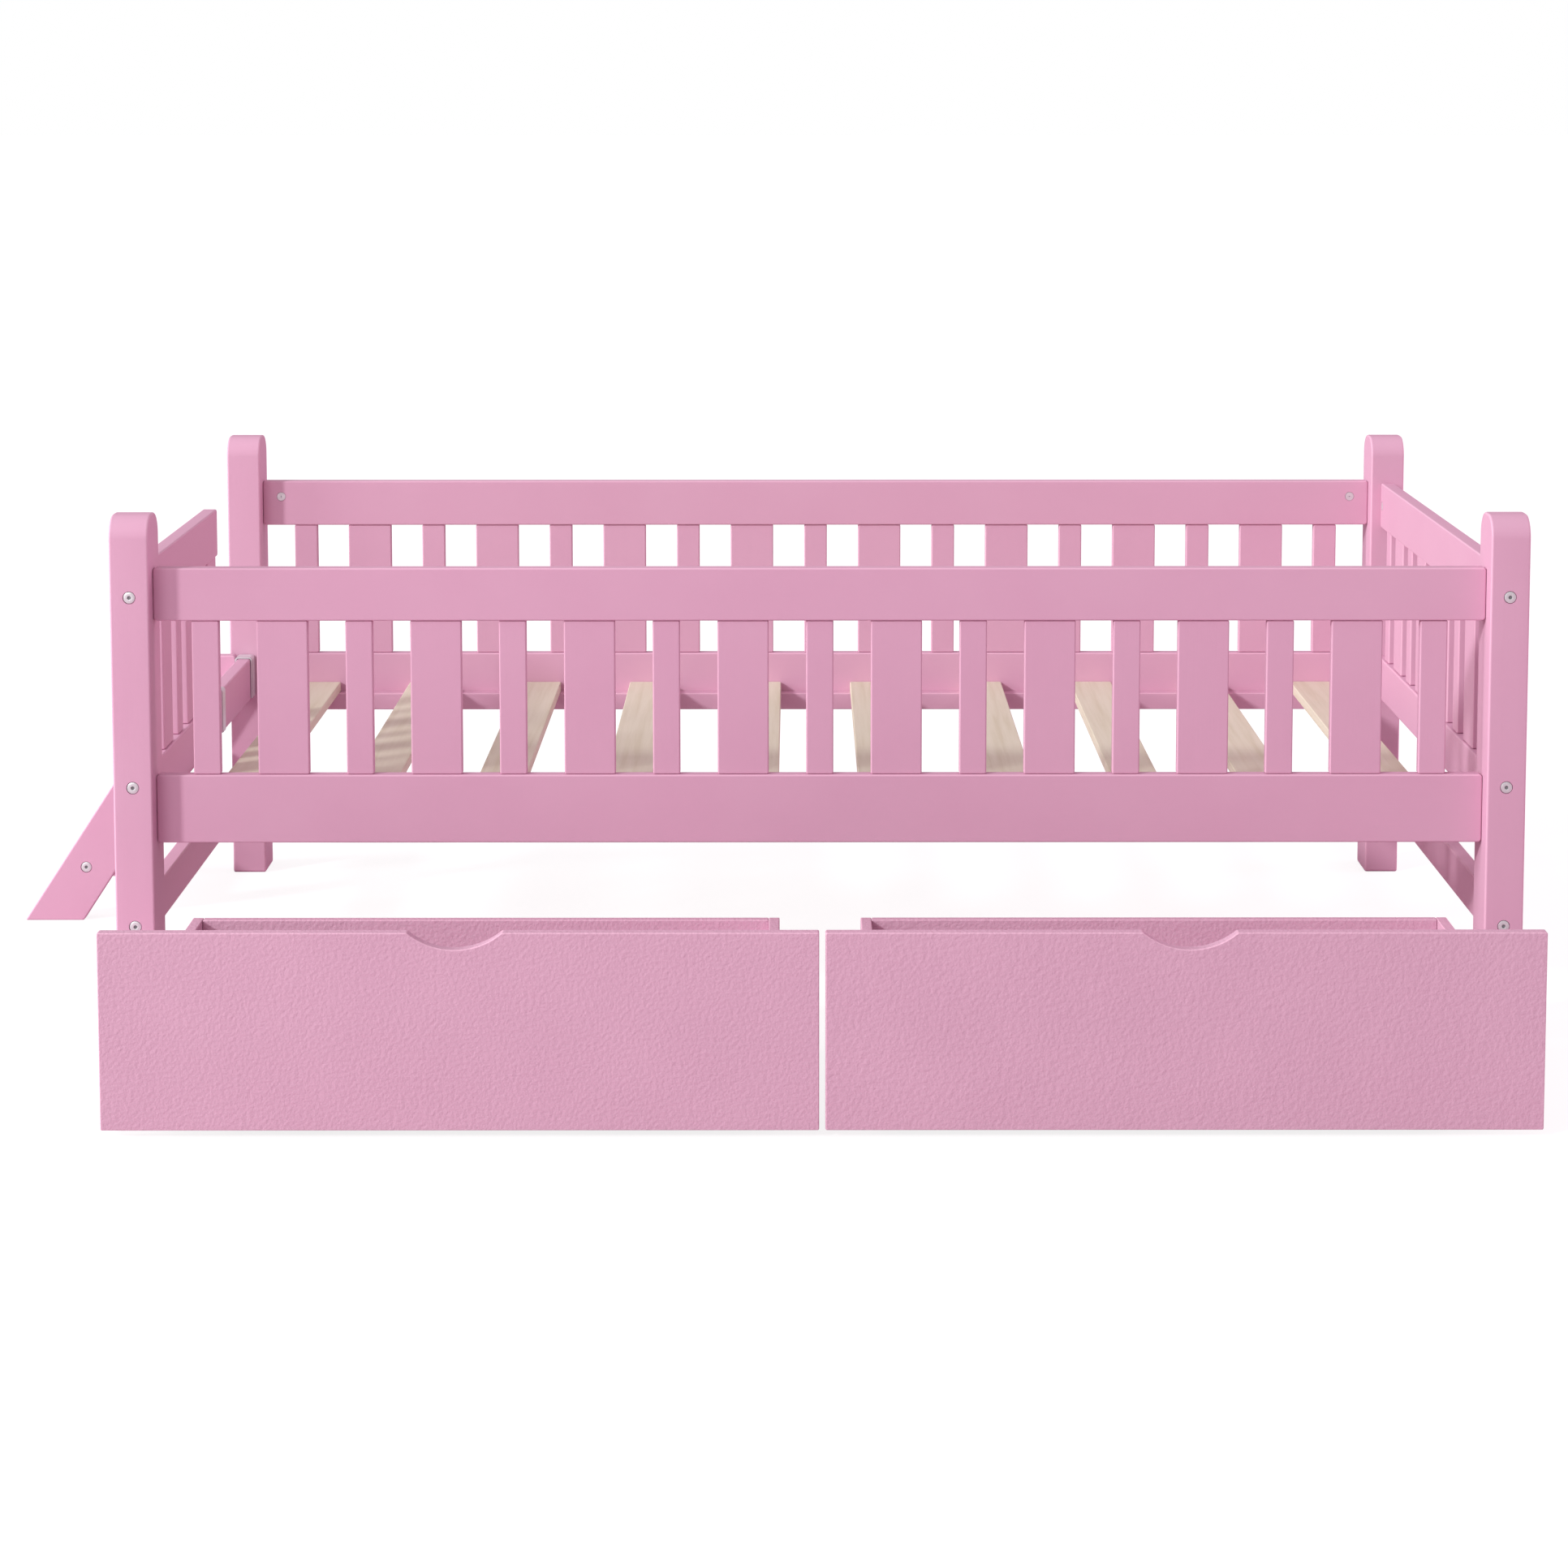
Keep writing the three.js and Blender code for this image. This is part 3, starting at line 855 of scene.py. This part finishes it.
def makeBracket(name, body, centre):
    # a plate under the drawer, two cheeks beside the wheel and the heads of the axle's rivet
    s = castorShape
    low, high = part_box(f"{name}_fork")
    plateBottom = high.z - s["plateThickness"] * mm
    bm, share, grain = newShape()
    pushOut(bm, roundedOutline(low, high, "z", s["plateCorner"] * mm), "z", plateBottom, high.z)
    half, thick = s["cheekTop"] * mm, s["cheekThickness"] * mm
    tilt = math.degrees(math.atan2(plateBottom - centre.z, half)) * s["cheekSlope"]
    outline = [(centre.y - half, plateBottom)]
    outline += arc(centre.y, centre.z, centre.z - low.z, 180 + tilt, 360 - tilt, s["cheekSteps"])
    outline += [(centre.y + half, plateBottom)]
    for start in (low.x, high.x - thick):
        pushOut(bm, outline, "x", start, start + thick)
    easeEdges(bm, s["ease"] * mm, share)
    across, upward = Vector((0, 1, 0)), Vector((0, 0, 1))
    for outward, x in ((-1, low.x), (1, high.x)):
        rings = []
        for radius, height in s["rivet"]:
            place = Vector((x + outward * height * mm, centre.y, centre.z))
            rings.append(ringOf(bm, place, across, upward, radius * mm, s["rivetSteps"]))
        stackRings(bm, rings)
    setGrain(bm, grain, "x")
    finishPiece(f"{name}_bracket", bm, body, "bright_steel", [f"{name}_fork"], smoothAngle=35)


def makeWheel(name, centre, tyre):
    s = castorShape
    half, rim, edge = s["wheelWidth"] * mm / 2, s["rimRadius"] * mm, s["edgeRadius"] * mm
    profile = [(rim, half)]
    for degrees in (0, 30, 60, 90):
        a = math.radians(degrees)
        profile.append((tyre - edge * (1 - math.sin(a)), half - edge * (1 - math.cos(a))))
    bm, _, grain = newShape()
    latheRings(bm, mirrored(profile), centre, s["wheelSteps"])
    setGrain(bm, grain, "x")
    finishPiece(f"{name}_tread", bm, f"{name}_wheel", "castor_tyre", [f"{name}_wheel"], smoothAngle=50)
    web, hub, bore = s["webRadius"] * mm, s["hubRadius"] * mm, s["bore"] * mm
    recess, lip = half - s["webDepth"] * mm, half * s["rimShare"]
    profile = [(bore, half), (hub, half), (hub, recess), (web, recess), (web, lip), (rim, lip)]
    bm, _, grain = newShape()
    latheRings(bm, mirrored(profile), centre, s["wheelSteps"])
    setGrain(bm, grain, "x")
    finishPiece(f"{name}_hub", bm, f"{name}_wheel", "castor_tyre", None, hubNylon, smoothAngle=35)


def makeCastor(name, body):
    low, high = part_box(f"{name}_wheel")
    centre = (low + high) / 2
    makeBracket(name, body, centre)
    makeWheel(name, centre, centre.z - low.z)


makeDrawer("left", -1)
makeDrawer("right", 1)
print("drawers made")


# All the fixings of a group are one piece.
def makeFixings(group, placed, body):
    bm, share, grain = newShape()
    for kind, place, facing in placed:
        across, upward = facePlane(facing)
        turn = chance.uniform(0, math.pi)
        rings = []
        for radius, height, shape in fixingShapes[kind]["rings"]:
            centre = place + facing * (height * mm)
            rings.append(ringOf(bm, centre, across, upward, radius * mm, holeSteps, shape, turn))
        stackRings(bm, rings)
        # The floor of each recess is marked for the steel's painted shade.
        for vert in rings[-1]:  # the floor of its recess
            vert[share] = 1.0
    setGrain(bm, grain, "x")
    finishPiece(group, bm, body, "bright_steel", None, smoothAngle=35)


fixingBodies = {
    "ladder_bolts": "ladder", "hook_screws": "ladder",
    "left_drawer_screws": "left_drawer", "right_drawer_screws": "right_drawer",
}
for group, placed in fixings.items():
    makeFixings(group, placed, fixingBodies.get(group, "frame"))
print("fixings made:", sum(len(placed) for placed in fixings.values()))

# Stage: a plain pale floor, a soft surround, one key from the front left and three soft fills.
stageValues = {
    "floorReach": 60,
    "floorColour": (0.24, 0.24, 0.24, 1),  # as the camera sees it, with its glow on top
    "floorGlow": 0.84,
    "bounceColour": (0.66, 0.5, 0.57, 1),  # as it lights the bed
    "surround": 0.52,
    "surroundColour": (1, 0.87, 0.93, 1),
    "keySide": 51.5,  # degrees round from the front towards the left
    "keyHeight": 28,  # degrees above the horizon
    "keyStrength": 1.75,
    "keyColour": (0.94, 1, 0.98),
    "keySoftness": 6,  # degrees across
    "keyDistance": 6,
    "fills": {  # place, power and colour
        "leftFill": ((-8.6, -0.9, 2.8), 400, (0.95, 1, 0.98)),
        "frontFill": ((-2.4, -3.8, 2.2), 35, (0.98, 1, 0.99)),
        "rightFill": ((5.6, 0.9, 1.7), 96, (1, 0.63, 0.81)),
    },
    "fillSize": 2.4,
}


def makeLight(name, kind, place, towards, **settings):
    light = bpy.data.lights.new(name, kind)
    for key, value in settings.items():
        setattr(light, key, value)
    lamp = bpy.data.objects.new(name, light)
    lamp.location = place
    lamp.rotation_euler = towards.to_track_quat("Z", "Y").to_euler()
    bpy.context.scene.collection.objects.link(lamp)


def makeStage():
    s = stageValues
    white = (1, 1, 1, 1)
    bm = bmesh.new()
    bmesh.ops.create_grid(bm, x_segments=4, y_segments=4, size=s["floorReach"])
    mesh = bpy.data.meshes.new("studioFloor")
    bm.to_mesh(mesh)
    bm.free()
    floor = bpy.data.objects.new("studioFloor", mesh)
    bpy.context.scene.collection.objects.link(floor)
    finish = Finish(
        "studioFloorPaint", Roughness=0.9, Base_Color=s["floorColour"], Emission_Color=white,
        Emission_Strength=s["floorGlow"],
    )
    seenByCamera = finish.node("LightPath", {}, {}, "Is Camera Ray")
    bounce = finish.node("BsdfDiffuse", {}, {"Color": s["bounceColour"]})
    shown = Wire(finish, finish.surface.outputs[0])
    mixed = finish.node("MixShader", {}, {0: seenByCamera, 1: bounce, 2: shown})
    finish.tree.links.new(mixed.socket, finish.output.inputs[0])
    mesh.materials.append(finish.material)

    world = bpy.data.worlds.new("studioSurround")
    bpy.context.scene.world = world
    world.use_nodes = True
    sky = Shading(world.node_tree)
    seenByCamera = sky.node("LightPath", {}, {}, "Is Camera Ray")
    lit = sky.node("Background", {}, {"Color": s["surroundColour"], "Strength": s["surround"]})
    seen = sky.node("Background", {}, {"Color": white})
    sky.show("OutputWorld", sky.node("MixShader", {}, {0: seenByCamera, 1: lit, 2: seen}))

    side, up = math.radians(s["keySide"]), math.radians(s["keyHeight"])
    towards = Vector((-math.sin(side) * math.cos(up), -math.cos(side) * math.cos(up), math.sin(up)))
    makeLight(
        "keyLight", "SUN", towards * s["keyDistance"], towards, energy=s["keyStrength"], color=s["keyColour"],
        angle=math.radians(s["keySoftness"]),
    )
    for name, (spot, power, colour) in s["fills"].items():
        place = Vector(spot)
        towards = place.normalized()
        makeLight(name, "AREA", place, towards, shape="DISK", size=s["fillSize"], energy=power, color=colour)


makeStage()

# The camera stands in front, a little above the bed; turn and pitch in degrees.
cameraValues = {
    "place": (0.1064, -5.1588, 1.3767), "turn": 0.123, "pitch": 5.785,
    "sensor": 36, "lens": 80.282, "shift": (-0.01186, -0.235),
}


def makeCamera():
    data = bpy.data.cameras.new("bedCamera")
    data.sensor_width = cameraValues["sensor"]
    data.lens = cameraValues["lens"]
    data.shift_x, data.shift_y = cameraValues["shift"]
    camera = bpy.data.objects.new("bedCamera", data)
    camera.location = cameraValues["place"]
    pitch, turn = math.radians(90 - cameraValues["pitch"]), math.radians(-cameraValues["turn"])
    camera.rotation_euler = (pitch, 0, turn)
    bpy.context.scene.collection.objects.link(camera)
    bpy.context.scene.camera = camera


makeCamera()
bpy.context.scene.view_settings.view_transform = "Standard"
bpy.context.scene.view_settings.look = "None"
print("stage and camera ready")
